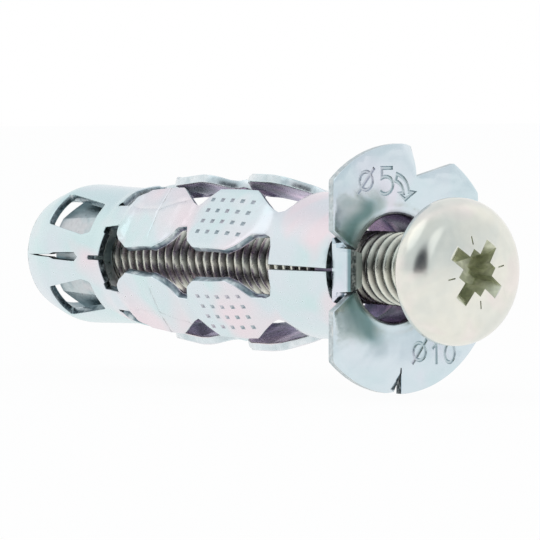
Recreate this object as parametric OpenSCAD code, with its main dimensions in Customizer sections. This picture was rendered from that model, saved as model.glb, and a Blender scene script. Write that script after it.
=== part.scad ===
// Hollow wall anchor: a rolled sheet sleeve with five folding legs, a flanged
// bush at its mouth, a hex nut gripped in its tail and a pan head machine screw.
// X runs out of the wall along the screw, the seam of the sleeve faces -Y, +Z is
// up, and the origin is the centre of the flange's back face, on the wall.

/* [Sleeve] */
// Thickness of the rolled sheet
sheet_t = 0.58; // [0.45:0.01:0.7]
// Outer radius of the collar, a hair under the radius of the drilled hole
collar_r = 4.95; // [4.7:0.05:5.3]
// Overall length from the front of the flange to the tail
anchor_len = 37; // [35.5:0.5:46]
// Number of folding legs
leg_count = 5; // [4:1:5]
// Length of each of the two panels of a leg
panel_len = 8.2; // [7.4:0.1:8.6]
// Outer distance of the legs from the axis where they stand proudest
leg_r = 5.7; // [5.4:0.05:6]
// Width of a leg's panels
leg_w = 4.9; // [4.2:0.1:5.2]
// Width of a leg at its three fold lines
waist_w = 1.7; // [1.2:0.1:2.2]
// Length of the collar between the wall and the legs
collar_len = 7.4; // [6.4:0.1:9]
// Width of the seam at the legs' end of the collar
seam_w = 0.36; // [0.1:0.02:0.6]

/* [Tail] */
// Length of the tapered end
taper_len = 2.6; // [1.5:0.1:3]
// Outer radius at the very end
taper_r = 4.2; // [3.9:0.05:4.6]
// Angle that each window in the tail spans
window_angle = 33; // [20:1:38]
// Gap left at the wide end of the split in the tail
split_w = 0.62; // [0.2:0.02:0.9]

/* [Flange] */
// Thickness of the flange plate
flange_t = 0.6; // [0.45:0.05:1]
// Radius of the flange's round edge
flange_r = 8.25; // [7.6:0.05:9.5]
// Distance of the flat on the seam side from the axis
near_flat = 5.75; // [5.5:0.05:7]
// Distance of the flat on the far side from the axis
far_flat = 6.65; // [5.5:0.05:7.5]
// Wall of the bush's neck
neck_wall = 0.85; // [0.5:0.05:1.1]
// Length of the neck behind the wall plane
neck_len = 3.2; // [2:0.1:5]
// Angle by which the two teeth are bent back into the wall
tooth_bend = 34; // [15:1:45]

/* [Nut] */
// Width across the nut's flats
nut_af = 8; // [7.4:0.1:8.2]
// Length of the nut
nut_len = 4.7; // [3.5:0.1:4.8]

/* [Screw] */
// Outer diameter of the thread
thread_d = 4.9; // [4:0.05:5.4]
// Length under the head
screw_len = 40; // [38:0.5:48]
// Diameter of the head
head_d = 9.64; // [9.2:0.02:10.4]
// Height of the head
head_h = 2.7; // [2.2:0.1:3.6]
// How far the head stands off the flange
head_gap = 5; // [3:0.1:6]
// Diameter across the cross recess
recess_d = 4.8; // [3.6:0.1:5.4]
// Depth of the cross recess
recess_depth = 1.9; // [1.2:0.1:2.1]

/* [Fits] */
// Clearance round the nut and the neck inside the sleeve
seat_gap = 0.03; // [0.02:0.01:0.06]
// Radial clearance of the screw in the nut
thread_gap = 0.05; // [0.02:0.01:0.09]
// How deep the collar's edge beds into the back of the flange
bed_depth = 0.05; // [0.02:0.01:0.1]

/* [Hidden] */
$fn = 96;
cut = 1;
reach = 2 * leg_r;

// Places along the axis, from the wall back to the tail
x_tail = flange_t - anchor_len;
x_collar = -collar_len;
fold_run = 0.8;
x_fold_c = x_collar - fold_run;
x_fold_b = x_fold_c - panel_len;
x_fold_a = x_fold_b - panel_len;
root_run = 1.5;
x_root = x_fold_a - root_run;
x_shoulder = x_tail + taper_len;

// The tail narrows from its shoulder towards the legs, which keeps the nut back
tail_r = collar_r + 0.05;
neckdown = 0.2;
lip_r = collar_r + 0.15;
lip_len = 1.1;
x_lip = x_root - lip_len;
tail_slope = neckdown / (x_lip - x_shoulder);
function tail_inner(x) = tail_r - sheet_t - (x - x_shoulder) * tail_slope;

leg_step = 360 / leg_count;
root_spare = 0.1;
// Half width of the slot between two legs, cut square through a wall of radius r
function slot_half(r) = r * sin(leg_step / 2 - asin((waist_w / 2 + root_spare) / r));

// The nut sits just inside the shoulder
nut_inset = 0.7;
x_nut = x_shoulder + nut_inset;
window_len = nut_len + 0.45;
x_window = x_nut - 0.35;

bed_r = collar_r + seat_gap;
neck_r = collar_r - sheet_t - seat_gap;
bore_r = neck_r - neck_wall;
mouth_round = 1;
x_head = flange_t + head_gap;

// Lays a shape drawn along Z down along X
module along_x() {
  rotate([0, 90, 0]) children();
}

// Turns a shape that faces the seam to the given angle round the axis
module turned(angle) {
  rotate([-angle, 0, 0]) children();
}

// Extrudes an outline drawn as [x, sideways] out of the axis towards the seam side
module outward() {
  rotate([90, 0, 0]) linear_extrude(reach) children();
}

// Repeats a shape at each leg, mirrored about the seam: $angle is measured from the seam
module round_the_seam() {
  for (leg = [0 : leg_count - 1]) {
    angle = (leg + 0.5) * leg_step;
    $angle = min(angle, 360 - angle);
    mirror([0, 0, angle > 180 ? 1 : 0]) turned($angle) children();
  }
}

// Extrudes an outline drawn as [y, z] along X
module plate(thickness) {
  rotate([90, 0, 90]) linear_extrude(thickness) children();
}

// ---------- sleeve ----------

// Radial section of the tail tube, with its taper, waist and flared lip
module tail_section() {
  polygon([
    [taper_r, x_tail],
    [tail_r, x_shoulder],
    [tail_r - neckdown, x_lip],
    [lip_r, x_root],
    [lip_r - sheet_t, x_root],
    [tail_r - neckdown - sheet_t, x_lip],
    [tail_r - sheet_t, x_shoulder],
    [taper_r - sheet_t, x_tail + 0.15],
    [taper_r - sheet_t / 2, x_tail]
  ]);
}

// Window beside one corner of the nut; lean slants it away from the seam at the tail
module window(lean) {
  half = tail_r * sin(window_angle / 2);
  outward() polygon([
    [x_window, lean - half], [x_window, lean + half],
    [x_window + window_len, half - lean * 0.3],
    [x_window + window_len, lean * 0.15 - half], [x_window + window_len * 0.8, -half]
  ]);
}

// Split along the seam, closed at the very end and widest beside the nut
module tail_split() {
  split_len = taper_len + nut_len;
  outward() polygon([
    [x_tail + 0.3, 0.03],
    [x_tail + split_len * 0.62, split_w / 2],
    [x_tail + split_len * 0.88, split_w / 2],
    [x_tail + split_len, 0],
    [x_tail + split_len * 0.88, -split_w / 2],
    [x_tail + split_len * 0.62, -split_w / 2],
    [x_tail + 0.3, -0.03]
  ]);
}

// Pointed end of the slot between two legs, where it runs into the tail
module slot_end() {
  depth = 0.75;
  relief = 0.3;
  half = slot_half(lip_r);
  outward() {
    polygon([
      [x_root - depth, 0],
      [x_root - relief, half - relief],
      [x_root + cut, half],
      [x_root + cut, -half],
      [x_root - relief, relief - half]
    ]);
    for (side = [-1, 1])
      translate([x_root - relief * 0.3, side * (half - relief)]) circle(relief);
  }
}

module tail() {
  difference() {
    along_x() rotate_extrude() tail_section();
    round_the_seam() window(0.74 * cos($angle / 2));
    for (slot = [0 : leg_count - 1]) turned(slot * leg_step) slot_end();
    tail_split();
    outward() translate([x_root - 2.1, -0.14]) square([2, 0.28]);
  }
}

// The legs stand this much proud of the walls that carry them, and lap over them
step_up = 0.03;
lap = 0.12;

// Outer line of a folded leg as [x, distance from the axis], tail to collar
fold_line = [
  [x_root - lap, lip_r + step_up],
  [x_fold_a, lip_r + 0.07],
  [x_fold_a + 0.8, leg_r - 0.22],
  [x_fold_a + panel_len * 0.72, leg_r],
  [x_fold_b - 0.7, leg_r - 0.12],
  [x_fold_b, leg_r - 0.26],
  [x_fold_b + 0.7, leg_r - 0.14],
  [x_fold_b + panel_len * 0.5, leg_r - 0.2],
  [x_fold_c, collar_r + step_up]
];

// Where the two ends of a leg run out inside the walls that carry them
root_depth = 0.5;
root_tip = [x_root - lap - root_depth, lip_r - sheet_t / 2 - 0.1];
collar_tip = [x_fold_c + root_depth, collar_r - sheet_t / 2];

// Side view of a folded leg, one sheet thick
function fold_section() = concat(
  [root_tip], fold_line, [collar_tip],
  [for (i = [len(fold_line) - 1 : -1 : 0]) [fold_line[i][0], fold_line[i][1] - sheet_t]]
);

// Half outlines of one panel as [share of its length, sideways], seam side
// first: blunt towards the tail, and tapering to the next fold line
function near_edge() = [
  [0, waist_w / 2], [0.13, leg_w * 0.43], [0.24, leg_w * 0.53],
  [0.66, leg_w * 0.53], [0.75, leg_w * 0.44], [0.87, waist_w * 0.66]
];
function far_edge() = [
  [0, waist_w / 2], [0.06, waist_w * 0.72], [0.2, leg_w * 0.45],
  [0.67, leg_w * 0.47], [0.8, leg_w * 0.34], [0.94, waist_w * 0.6]
];
function placed(edge, start, side) = [
  for (p = edge) [start + p[0] * panel_len, side * p[1]]
];
function backwards(list) = [for (i = [len(list) - 1 : -1 : 0]) list[i]];

module leg_outline() {
  near_side = concat(
    [[x_root - cut, -waist_w / 2]],
    placed(near_edge(), x_fold_a, -1),
    placed(near_edge(), x_fold_b, -1),
    [[x_fold_c, -waist_w / 2], [x_fold_c + cut, -waist_w / 2]]
  );
  far_side = concat(
    [[x_root - cut, waist_w / 2]],
    placed(far_edge(), x_fold_a, 1),
    placed(far_edge(), x_fold_b, 1),
    [[x_fold_c, waist_w / 2], [x_fold_c + cut, waist_w / 2]]
  );
  polygon(concat(near_side, backwards(far_side)));
}

module leg() {
  intersection() {
    linear_extrude(leg_w * 2, center = true)
      polygon([for (p = fold_section()) [p[0], -p[1]]]);
    outward() leg_outline();
  }
}

module collar() {
  seam_far = seam_w / 2 * 0.5;
  relief_len = 1.3;
  half = slot_half(collar_r);
  difference() {
    translate([x_fold_c + lap, 0, 0]) along_x()
      cylinder(h = bed_depth - x_fold_c - lap, r = collar_r);
    translate([x_fold_c - cut, 0, 0]) along_x()
      cylinder(h = -x_fold_c + 2 * cut, r = collar_r - sheet_t);
    for (leg = [0 : leg_count - 1])
      turned(leg * leg_step) outward() polygon([
        [x_fold_c - cut, -half - 0.05],
        [x_collar - fold_run * 0.4, -half + 0.12], [x_collar, -half + 0.7],
        [x_collar, half - 0.7], [x_collar - fold_run * 0.4, half - 0.12],
        [x_fold_c - cut, half + 0.05]
      ]);
    // the open seam, and the relief where the seam meets the flange
    outward() polygon([
      [x_collar - cut, -seam_w / 2], [cut, -seam_far], [cut, seam_far], [x_collar - cut, seam_w / 2]
    ]);
    outward() polygon([
      [-relief_len, -1.9], [-relief_len * 0.8, -2.25], [cut, -2.6],
      [cut, 2.6], [-relief_len * 0.8, 2.25], [-relief_len, 1.9]
    ]);
  }
}

module anchor_sleeve() {
  color("lightsteelblue") {
    tail();
    collar();
    round_the_seam() leg();
  }
}

// ---------- flange ----------

// The notch and the slit free the edges of the two teeth, as [y, z]
notch_foot = [flange_r * 0.155, flange_r * 0.735];
slit_w = 0.1;
slit_foot = [-slit_w, -flange_r * 0.79];
upper_hinge = [[-flange_r * 0.012, flange_r], notch_foot];
lower_hinge = [[-flange_r * 0.22, -flange_r], slit_foot];
crease = 0.04;

module flange_outline() {
  difference() {
    intersection() {
      circle(flange_r);
      translate([-near_flat, -flange_r]) square([near_flat + far_flat, 2 * flange_r]);
    }
    // the notch keeps the screw's turning from spinning the anchor
    polygon([
      [notch_foot[0], flange_r + cut], notch_foot,
      [flange_r * 0.6, flange_r * 0.845], [flange_r * 0.75, flange_r + cut]
    ]);
    translate([slit_foot[0], -flange_r - cut]) square([slit_w, flange_r + slit_foot[1] + cut]);
    circle(bed_r);
  }
}

// Part of the plate beyond a tooth's hinge line, out past the rim; the line can be shifted
// towards the tooth, which lies on the side of the line that the sign of shift says
module beyond(hinge, shift = 0) {
  run = hinge[1] - hinge[0];
  step = shift * [-run[1], run[0]] / norm(run);
  rim = sign(hinge[0][1]) * (flange_r + cut);
  a = hinge[0] + step;
  b = hinge[1] + step;
  polygon([a, b, [b[0], rim], [a[0], rim]]);
}

// Corner of the plate bent back about its hinge line on the front face
module tooth(hinge, side) {
  run = hinge[1] - hinge[0];
  turn = atan2(run[1], run[0]);
  translate([flange_t, hinge[0][0], hinge[0][1]]) rotate([turn, 0, 0])
    rotate([0, side * tooth_bend, 0]) rotate([-turn, 0, 0])
      translate([-flange_t, -hinge[0][0], -hinge[0][1]]) plate(flange_t) intersection() {
        flange_outline();
        beyond(hinge);
      }
}

// Gap in the flange over the sleeve's seam
module seam_gap() {
  inner = [-neck_r * 0.9, neck_r * 0.32];
  outer = [-near_flat - cut, near_flat * 0.575];
  polygon([inner, outer, [outer[0], -outer[1]], [inner[0], -inner[1]]]);
}

// Neck and rounded mouth of the bush, with the seat of the collar's edge, as [radius, x]
module neck_section() {
  step = 15;
  blend = 0.4;
  polygon(concat(
    [[bore_r, -neck_len], [neck_r, -neck_len], [neck_r, bed_depth], [bed_r, bed_depth]],
    [[bed_r, 0], [bed_r + blend, 0], [bed_r + blend, flange_t]],
    [for (a = [90 : step : 180])
      [bore_r + mouth_round * (1 + cos(a)), flange_t - mouth_round * (1 - sin(a))]]
  ));
}

// Square end of the neck, standing in the gap
module neck_end() {
  half = neck_r * 0.31;
  depth = neck_len + flange_t;
  translate([-neck_len, 0, 0]) intersection() {
    along_x() difference() {
      cylinder(h = depth, r = neck_r);
      translate([0, 0, -cut]) cylinder(h = depth + 2 * cut, r = bore_r);
    }
    plate(depth) translate([-neck_r - cut, -half]) square([cut + neck_wall * 1.5, 2 * half]);
  }
}

module wall_flange() {
  color("lightsteelblue") {
    difference() {
      union() {
        plate(flange_t) difference() {
          flange_outline();
          beyond(upper_hinge, crease);
          beyond(lower_hinge, -crease);
        }
        along_x() rotate_extrude() neck_section();
      }
      translate([-cut, 0, 0]) difference() {
        plate(flange_t + 2 * cut) seam_gap();
        along_x() cylinder(h = flange_t + 2 * cut, r = neck_r);
      }
    }
    neck_end();
    tooth(upper_hinge, -1);
    tooth(lower_hinge, 1);
  }
}

// ---------- nut ----------

module captive_nut() {
  corner_tail = tail_inner(x_nut) - seat_gap;
  corner_head = tail_inner(x_nut + nut_len) - seat_gap;
  chamfer = 0.35;
  color("silver") difference() {
    intersection() {
      translate([x_nut, 0, 0]) along_x() rotate_extrude() polygon([
        [0, 0], [corner_tail - chamfer, 0], [corner_tail, chamfer * 0.6],
        [corner_head, nut_len - chamfer * 0.6], [corner_head - chamfer, nut_len], [0, nut_len]
      ]);
      translate([x_nut, 0, 0]) along_x() cylinder(h = nut_len, r = nut_af / sqrt(3), $fn = 6);
    }
    translate([x_nut - cut, 0, 0]) along_x() cylinder(h = nut_len + 2 * cut, r = thread_d / 2 + thread_gap);
  }
}

// ---------- screw ----------

// One pair of wings of the cross recess, narrowing towards its floor
module wings(angle) {
  wing_w = 0.92;
  rotate([0, 0, angle]) rotate([90, 0, 0]) linear_extrude(wing_w, center = true) polygon([
    [-recess_d / 2, cut], [-recess_d / 2, 0], [-recess_d / 4, -recess_depth],
    [recess_d / 4, -recess_depth], [recess_d / 2, 0], [recess_d / 2, cut]
  ]);
}

module head_section() {
  crown = 0.3;
  edge_r = 1.75;
  wall = head_h - crown - edge_r;
  step = 15;
  polygon(concat(
    [[0, 0], [head_d / 2 - 0.15, 0], [head_d / 2, 0.15]],
    [for (a = [0 : step : 90]) [head_d / 2 - edge_r + edge_r * cos(a), wall + edge_r * sin(a)]],
    [[head_d / 4 - 0.4, head_h - crown * 0.35], [0, head_h]]
  ));
}

module machine_screw() {
  point = 0.5;
  recess_angle = 55;
  color("ivory") translate([x_head, 0, 0]) along_x() {
    difference() {
      rotate_extrude() head_section();
      translate([0, 0, head_h - 0.2]) for (turn = [0, 90]) wings(recess_angle + turn);
    }
    rotate_extrude() polygon([
      [0, 0.01], [thread_d / 2, 0.01], [thread_d / 2, point - screw_len],
      [thread_d / 2 - point, -screw_len], [0, -screw_len]
    ]);
  }
}

anchor_sleeve();
wall_flange();
captive_nut();
machine_screw();
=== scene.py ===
"""Hollow wall anchor with its machine screw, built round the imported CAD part.

+X runs out of the wall along the screw, the sleeve's seam faces -Y and +Z is up. Shapes are drawn in
millimetres and scaled to metres as they become pieces.
"""
import contextlib
import math

import bmesh
import bpy
import numpy as np
from mathutils import Matrix, Vector
from mathutils.geometry import delaunay_2d_cdt


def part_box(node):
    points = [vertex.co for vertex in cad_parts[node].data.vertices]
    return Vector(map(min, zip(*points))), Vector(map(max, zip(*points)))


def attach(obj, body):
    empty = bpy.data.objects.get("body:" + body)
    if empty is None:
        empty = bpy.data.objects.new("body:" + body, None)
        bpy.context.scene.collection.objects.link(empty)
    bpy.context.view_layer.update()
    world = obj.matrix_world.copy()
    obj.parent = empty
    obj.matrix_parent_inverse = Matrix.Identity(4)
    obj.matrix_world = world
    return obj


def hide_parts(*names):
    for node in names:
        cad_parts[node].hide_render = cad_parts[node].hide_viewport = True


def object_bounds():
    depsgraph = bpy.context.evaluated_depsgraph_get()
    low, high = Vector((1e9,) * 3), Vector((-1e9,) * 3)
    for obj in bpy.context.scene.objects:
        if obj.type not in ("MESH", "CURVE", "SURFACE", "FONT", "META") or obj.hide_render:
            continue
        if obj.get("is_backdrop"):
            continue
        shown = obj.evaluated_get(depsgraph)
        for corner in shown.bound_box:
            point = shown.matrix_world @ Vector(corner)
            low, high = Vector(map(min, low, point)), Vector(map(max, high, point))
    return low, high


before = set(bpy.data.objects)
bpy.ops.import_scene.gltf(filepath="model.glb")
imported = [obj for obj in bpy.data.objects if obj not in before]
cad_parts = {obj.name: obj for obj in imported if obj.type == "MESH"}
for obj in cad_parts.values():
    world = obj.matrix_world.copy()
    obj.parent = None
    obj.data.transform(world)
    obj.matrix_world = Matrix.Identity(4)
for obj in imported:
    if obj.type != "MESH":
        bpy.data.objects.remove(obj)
cad_low, cad_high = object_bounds()
MM = 0.001


# ---------------------------------------------------------------- sleeve
# The body of the anchor is one sheet of bright zinc plated steel, blanked, rolled to a tube and butted
# along a seam. Five folding legs run between a plain collar at the wall and a tail crimped on the nut.
# Each leg has a creased panel and a dimpled panel, and stands proud of the collar.

def in_mm(node):
    """The two corners of a CAD node in millimetres."""
    return [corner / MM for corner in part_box(node)]


sleeve_low = in_mm("anchor_sleeve")[0]
sheet = 0.58  # thickness of the sheet
collar_r = 4.95  # outside of the collar
roll_r = collar_r - sheet / 2
legs = 5
leg_pitch = 2 * math.pi / legs
edge_s = roll_r * leg_pitch / 2  # half of one leg's share of the blank
waist = 1.7  # width of a leg at its folds
panel = 8.2  # length of each panel

# places along the sleeve, from the tail to the mouth
tail_x = sleeve_low.x
shoulder_x = tail_x + 2.6
collar_x = -7.4
fold_c = collar_x - 0.8
fold_b = fold_c - panel
fold_a = fold_b - panel
root_x = fold_a - 1.5
slot_tip = root_x - 0.75
lip_x = root_x - 1.1

# distance of the sheet's outer face from the axis along the sleeve, tail to mouth
outer_line = np.array([
    [tail_x, 4.16], [tail_x + 0.12, 4.28], [shoulder_x - 0.3, 4.93], [shoulder_x + 0.3, 5.0],
    [lip_x, 4.8], [root_x, 5.08], [fold_a, 5.17], [fold_a + 0.8, 5.5], [fold_a + panel * 0.72, 5.74],
    [fold_b - 0.7, 5.62], [fold_b, 5.42], [fold_b + 0.7, 5.56], [fold_b + panel * 0.5, 5.53],
    [fold_c - 1.0, 5.22], [fold_c, collar_r + 0.02], [fold_c + 0.5, collar_r], [0.0, collar_r],
])
# the legs are flat across between these places
flat_from = fold_a - 0.5
flat_to = fold_c - 1.1


def smoothstep(value, low, high):
    share = np.clip((value - low) / (high - low), 0, 1)
    return share * share * (3 - 2 * share)


def outer_at(x):
    """The outer line with its bends rounded over a short run."""
    spread = np.linspace(-0.22, 0.22, 7)
    return np.mean([np.interp(x + d, outer_line[:, 0], outer_line[:, 1]) for d in spread], axis=0)


def rounded(corners, radius, steps=3):
    """A closed outline with its corners turned into short curves."""
    corners = [Vector(c) for c in corners]
    out = []
    for i, corner in enumerate(corners):
        back = corners[i - 1] - corner
        ahead = corners[(i + 1) % len(corners)] - corner
        turn = back.angle(ahead)
        reach = min(radius / math.tan(turn / 2), back.length * 0.45, ahead.length * 0.45)
        if reach < 0.02:
            out.append(corner)
            continue
        start = corner + back.normalized() * reach
        end = corner + ahead.normalized() * reach
        for t in np.linspace(0, 1, steps + 1):
            out.append(start * (1 - t) ** 2 + corner * 2 * t * (1 - t) + end * t ** 2)
    return out


def divided(ring, spacing):
    """A closed outline with no stretch longer than spacing."""
    out = []
    for start, end in zip(ring, ring[1:] + ring[:1]):
        start, end = Vector(start), Vector(end)
        count = max(1, math.ceil((end - start).length / spacing - 1e-6))
        out += [start.lerp(end, k / count) for k in range(count)]
    return out


def within(points, ring):
    """Which points lie inside a closed outline."""
    hit = np.zeros(len(points), bool)
    ring = np.array(ring, float)
    for (x0, y0), (x1, y1) in zip(ring, np.roll(ring, -1, axis=0)):
        if y0 == y1:
            continue
        crosses = (y0 > points[:, 1]) != (y1 > points[:, 1])
        hit ^= crosses & (points[:, 0] < (x1 - x0) * (points[:, 1] - y0) / (y1 - y0) + x0)
    return hit


def filled(outline, holes, spacing, pressings=()):
    """Points and triangles that fill an outline round its holes. Pressings are small closed outlines
    that stay in the sheet and keep the lattice of points out."""
    points, edges = [], []
    for ring in [outline, *holes, *pressings]:
        first = len(points)
        ring = divided([Vector(p) for p in ring], spacing)
        points += ring
        edges += [(first + k, first + (k + 1) % len(ring)) for k in range(len(ring))]
    rim = np.array(points, float)
    low, high = rim.min(0), rim.max(0)
    row_step = spacing * 0.87
    across, along = np.meshgrid(np.arange(low[0], high[0], spacing), np.arange(low[1], high[1], row_step))
    across = across + (np.arange(len(across)) % 2)[:, None] * spacing / 2
    lattice = np.stack([across.ravel(), along.ravel()], axis=1)
    lattice = lattice[within(lattice, outline)]
    for ring in [*holes, *pressings]:
        lattice = lattice[~within(lattice, ring)]
    clear = [np.min(np.hypot(*(rim - p).T)) > spacing * 0.55 for p in lattice]
    points += [Vector(p) for p in lattice[clear]]
    spots, _, faces, *_ = delaunay_2d_cdt(points, edges, [], 0, 1e-5)
    spots = np.array([tuple(p) for p in spots])
    middles = np.array([spots[list(f)].mean(0) for f in faces])
    corners = np.array([spots[list(f)[:3]] for f in faces])
    sides = corners[:, 1:] - corners[:, :1]
    area = np.abs(sides[:, 0, 0] * sides[:, 1, 1] - sides[:, 0, 1] * sides[:, 1, 0])
    keep = within(middles, outline) & (area > 1e-5)
    for ring in holes:
        keep &= ~within(middles, ring)
    return spots, [list(f) for f, kept in zip(faces, keep) if kept]


# the edges of one leg as [share of the panel's length, sideways], on the seam side and the far side
seam_edge = [(0.13, 2.1), (0.24, 2.58), (0.66, 2.58), (0.75, 2.15), (0.87, 1.12)]
far_edge = [(0.06, 1.2), (0.2, 2.2), (0.67, 2.3), (0.8, 1.66), (0.94, 1.02)]


def leg_side(edge, side):
    """One edge of a leg from the collar to the tail."""
    out = [(collar_x - 0.3, side * (waist / 2 + 0.18)), (fold_c, side * (waist / 2 + 0.02))]
    for start in (fold_b, fold_a):
        out += [(start + share * panel, side * s) for share, s in reversed(edge)]
        out.append((start, side * waist / 2))
    return out + [(root_x + 0.3, side * waist / 2)]


def root_hook(side):
    """The rounded relief where a slot runs into the tail beside a leg."""
    return [(root_x - 0.35, side * (waist / 2 - 0.04)), (root_x - 0.42, side * (waist / 2 + 0.3)),
            (root_x - 0.16, side * (waist / 2 + 0.42))]


def sector_outline(at_seam):
    """Blank of one leg's share of the sleeve, with the leg in its middle. Two of them border the seam,
    with half of the tail's split, the nick behind it, the open seam and the relief at the mouth."""
    split = 0.29
    nick = 0.13
    seam_half = (0.16, 0.09)
    slot_foot = 1.3
    far = [(0, edge_s), (collar_x, edge_s), (collar_x, edge_s - slot_foot), *leg_side(far_edge, 1),
           *root_hook(1), (slot_tip, edge_s), (tail_x, edge_s)]
    if at_seam:
        split_line = [(0, 0), (0.25, 0), (3.7, 0.28), (4.2, 0.72), (6.3, 1), (6.6, 1), (7.0, 0)]
        near = [*[(tail_x + x, -edge_s + split * share) for x, share in split_line], (root_x - 2.1, -edge_s),
                (root_x - 2.05, -edge_s + nick), (slot_tip, -edge_s + nick + 0.01)]
        mouth = [(collar_x, -edge_s + seam_half[0]), (-1.3, -edge_s + seam_half[1]),
                 (-1.28, -edge_s + 1.7), (-1.0, -edge_s + 2.1), (0, -edge_s + 2.4)]
    else:
        near = [(tail_x, -edge_s), (slot_tip, -edge_s)]
        mouth = [(collar_x, -edge_s), (0, -edge_s)]
    near += root_hook(-1)[::-1] + leg_side(seam_edge, -1)[::-1]
    return far + near + [(collar_x, -edge_s + slot_foot)] + mouth


def tail_window(angle):
    """Window over one corner of the nut, slanted away from the seam at the tail."""
    half = 1.36
    lean = 0.7 * math.cos(angle / 2)
    x0, length = tail_x + 2.95, 5.1
    return rounded([(x0, lean - half), (x0, lean + half), (x0 + length, half - lean * 0.3),
                    (x0 + length, lean * 0.15 - half + 0.1), (x0 + length * 0.82, -half)], 0.28)


def dimple_rings():
    """Square pits in four slanted rows of five on the middle of the second panel."""
    rings, half_x, half_s = [], 0.2, 0.155
    pitch_x, pitch_s, slant = 1.06, 0.87, 0.08
    for row in range(4):
        for column in range(5):
            x = fold_b + 3.7 + (column - 2) * pitch_x - (row - 1.5) * slant
            s = (row - 1.5) * pitch_s
            rings.append([(x + a * half_x, s + b * half_s) for a, b in ((-1, -1), (1, -1), (1, 1), (-1, 1))])
    return rings


pits = dimple_rings()
pit_floors = []
for ring in pits:
    middle = Vector(ring[0]).lerp(Vector(ring[2]), 0.5)
    pit_floors.append([Vector(p).lerp(middle, 0.5) for p in ring])
pit_depth = 0.11

# four creases meet on the first panel: each is a ray [x, sideways] and how far the panel falls at its end
star_centre = Vector((fold_a + 4.3, 0.35))
star_rays = [(Vector((-3.4, 0.2)), 0.22), (Vector((-0.3, 2.0)), 0.2), (Vector((3.4, 1.1)), 0.2),
             (Vector((0.2, -2.2)), 0.2)]
star_lines, star_rings = [], []
line_half = 0.06
for ray, _ in star_rays:
    near, far = star_centre + ray * 0.06, star_centre + ray * 0.94
    beside = Vector((-ray.y, ray.x)).normalized() * line_half
    star_lines.append([near, far])
    star_rings.append([near - beside, far - beside, far + beside, near + beside])
line_depth = 0.04


def star_drop(spots):
    """How far the creased panel falls away from the point where its creases meet."""
    drop = np.zeros(len(spots))
    for i, (ray, fall) in enumerate(star_rays):
        other, other_fall = star_rays[(i + 1) % len(star_rays)]
        both = np.array([[ray.x, other.x], [ray.y, other.y]])
        shares = np.linalg.solve(both, (spots - np.array(star_centre)).T)
        here = (shares >= 0).all(0)
        drop[here] = (shares[0] * fall + shares[1] * other_fall)[here]
    return drop


def rolled(spots, angle, deep=0.0):
    """Places flat points [x, sideways] of one sector on the rolled and folded sheet, or deep under it."""
    x, s = spots.T
    outer = outer_at(x)
    flat = smoothstep(x, root_x - 0.1, flat_from) * (1 - smoothstep(x, flat_to, fold_c + 0.1))
    bend = (1 - flat) / outer + 1e-5
    stretch = flat + (1 - flat) * outer / roll_r
    turn = s * stretch * bend
    out = outer - (1 - np.cos(turn)) / bend
    on_star = smoothstep(x, fold_a + 0.6, fold_a + 1.6) * (1 - smoothstep(x, fold_b - 1.6, fold_b - 0.5))
    out = out - star_drop(spots) * on_star
    for floor in pit_floors if not deep else []:
        out = out - pit_depth * (np.min([np.hypot(*(spots - np.array(p)).T) for p in floor], axis=0) < 1e-3)
    for start, end in star_lines if not deep else []:
        run = np.array((end - start).normalized())
        off = spots - np.array(start)
        on_line = (np.abs(off @ np.array((-run[1], run[0]))) < 1e-3) & (off @ run > -1e-3)
        out = out - line_depth * (on_line & (off @ run < (end - start).length + 1e-3))
    sideways = np.sin(turn) / bend - deep * np.sin(turn)
    out = out - deep * np.cos(turn)
    y = -out * math.cos(angle) + sideways * math.sin(angle)
    z = out * math.sin(angle) + sideways * math.cos(angle)
    return np.stack([x, y, z], axis=1)


def as_piece(name, verts, faces, materials):
    """An object, in millimetres, made of these points and faces."""
    mesh = bpy.data.meshes.new(name)
    mesh.from_pydata([tuple(v) for v in verts], [], faces)
    for material in materials:
        mesh.materials.append(material)
    piece = bpy.data.objects.new(name, mesh)
    bpy.context.scene.collection.objects.link(piece)
    return piece


@contextlib.contextmanager
def edited(mesh):
    """A mesh opened for editing and written back."""
    shape = bmesh.new()
    shape.from_mesh(mesh)
    yield shape
    shape.to_mesh(mesh)
    shape.free()


def faced_out(shape):
    """Turns every face outwards."""
    bmesh.ops.recalc_face_normals(shape, faces=shape.faces)


def settled(piece, smooth_below, scale=MM):
    """Makes the modifiers part of the mesh, scales it to metres, merges points that meet, drops faces
    without area and smooths the shallow edges."""
    bpy.context.view_layer.update()
    mesh = bpy.data.meshes.new_from_object(piece.evaluated_get(bpy.context.evaluated_depsgraph_get()))
    piece.modifiers.clear()
    piece.data = mesh
    mesh.transform(Matrix.Scale(scale, 4))
    mesh.name = piece.name
    distance = 0.005 * scale if scale == MM else 0.0001
    with edited(mesh) as shape:
        bmesh.ops.remove_doubles(shape, verts=shape.verts, dist=distance)
        bmesh.ops.dissolve_degenerate(shape, edges=shape.edges, dist=distance)
        faced_out(shape)
    mesh.polygons.foreach_set("use_smooth", [True] * len(mesh.polygons))
    mesh.set_sharp_from_angle(angle=math.radians(smooth_below))


def add_modifier(piece, kind, **settings):
    """A modifier with these settings on a piece."""
    modifier = piece.modifiers.new(kind.lower(), kind)
    for key, value in settings.items():
        setattr(modifier, key, value)


def socket_value(socket, value):
    """Links a socket to another, or sets it."""
    if isinstance(value, bpy.types.NodeSocket):
        socket.id_data.links.new(value, socket)
    else:
        socket.default_value = value


def add_node(tree, kind, sockets=None, **settings):
    """A node with these settings, its sockets set or linked."""
    node = tree.nodes.new(kind)
    for key, value in settings.items():
        setattr(node, key, value)
    for key, value in (sockets or {}).items():
        socket_value(node.inputs[key], value)
    return node


def math_node(tree, operation, a, b=0.0, c=0.0):
    node = add_node(tree, "ShaderNodeMath", {0: a, 1: b, 2: c}, operation=operation)
    return node.outputs[0]


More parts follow.
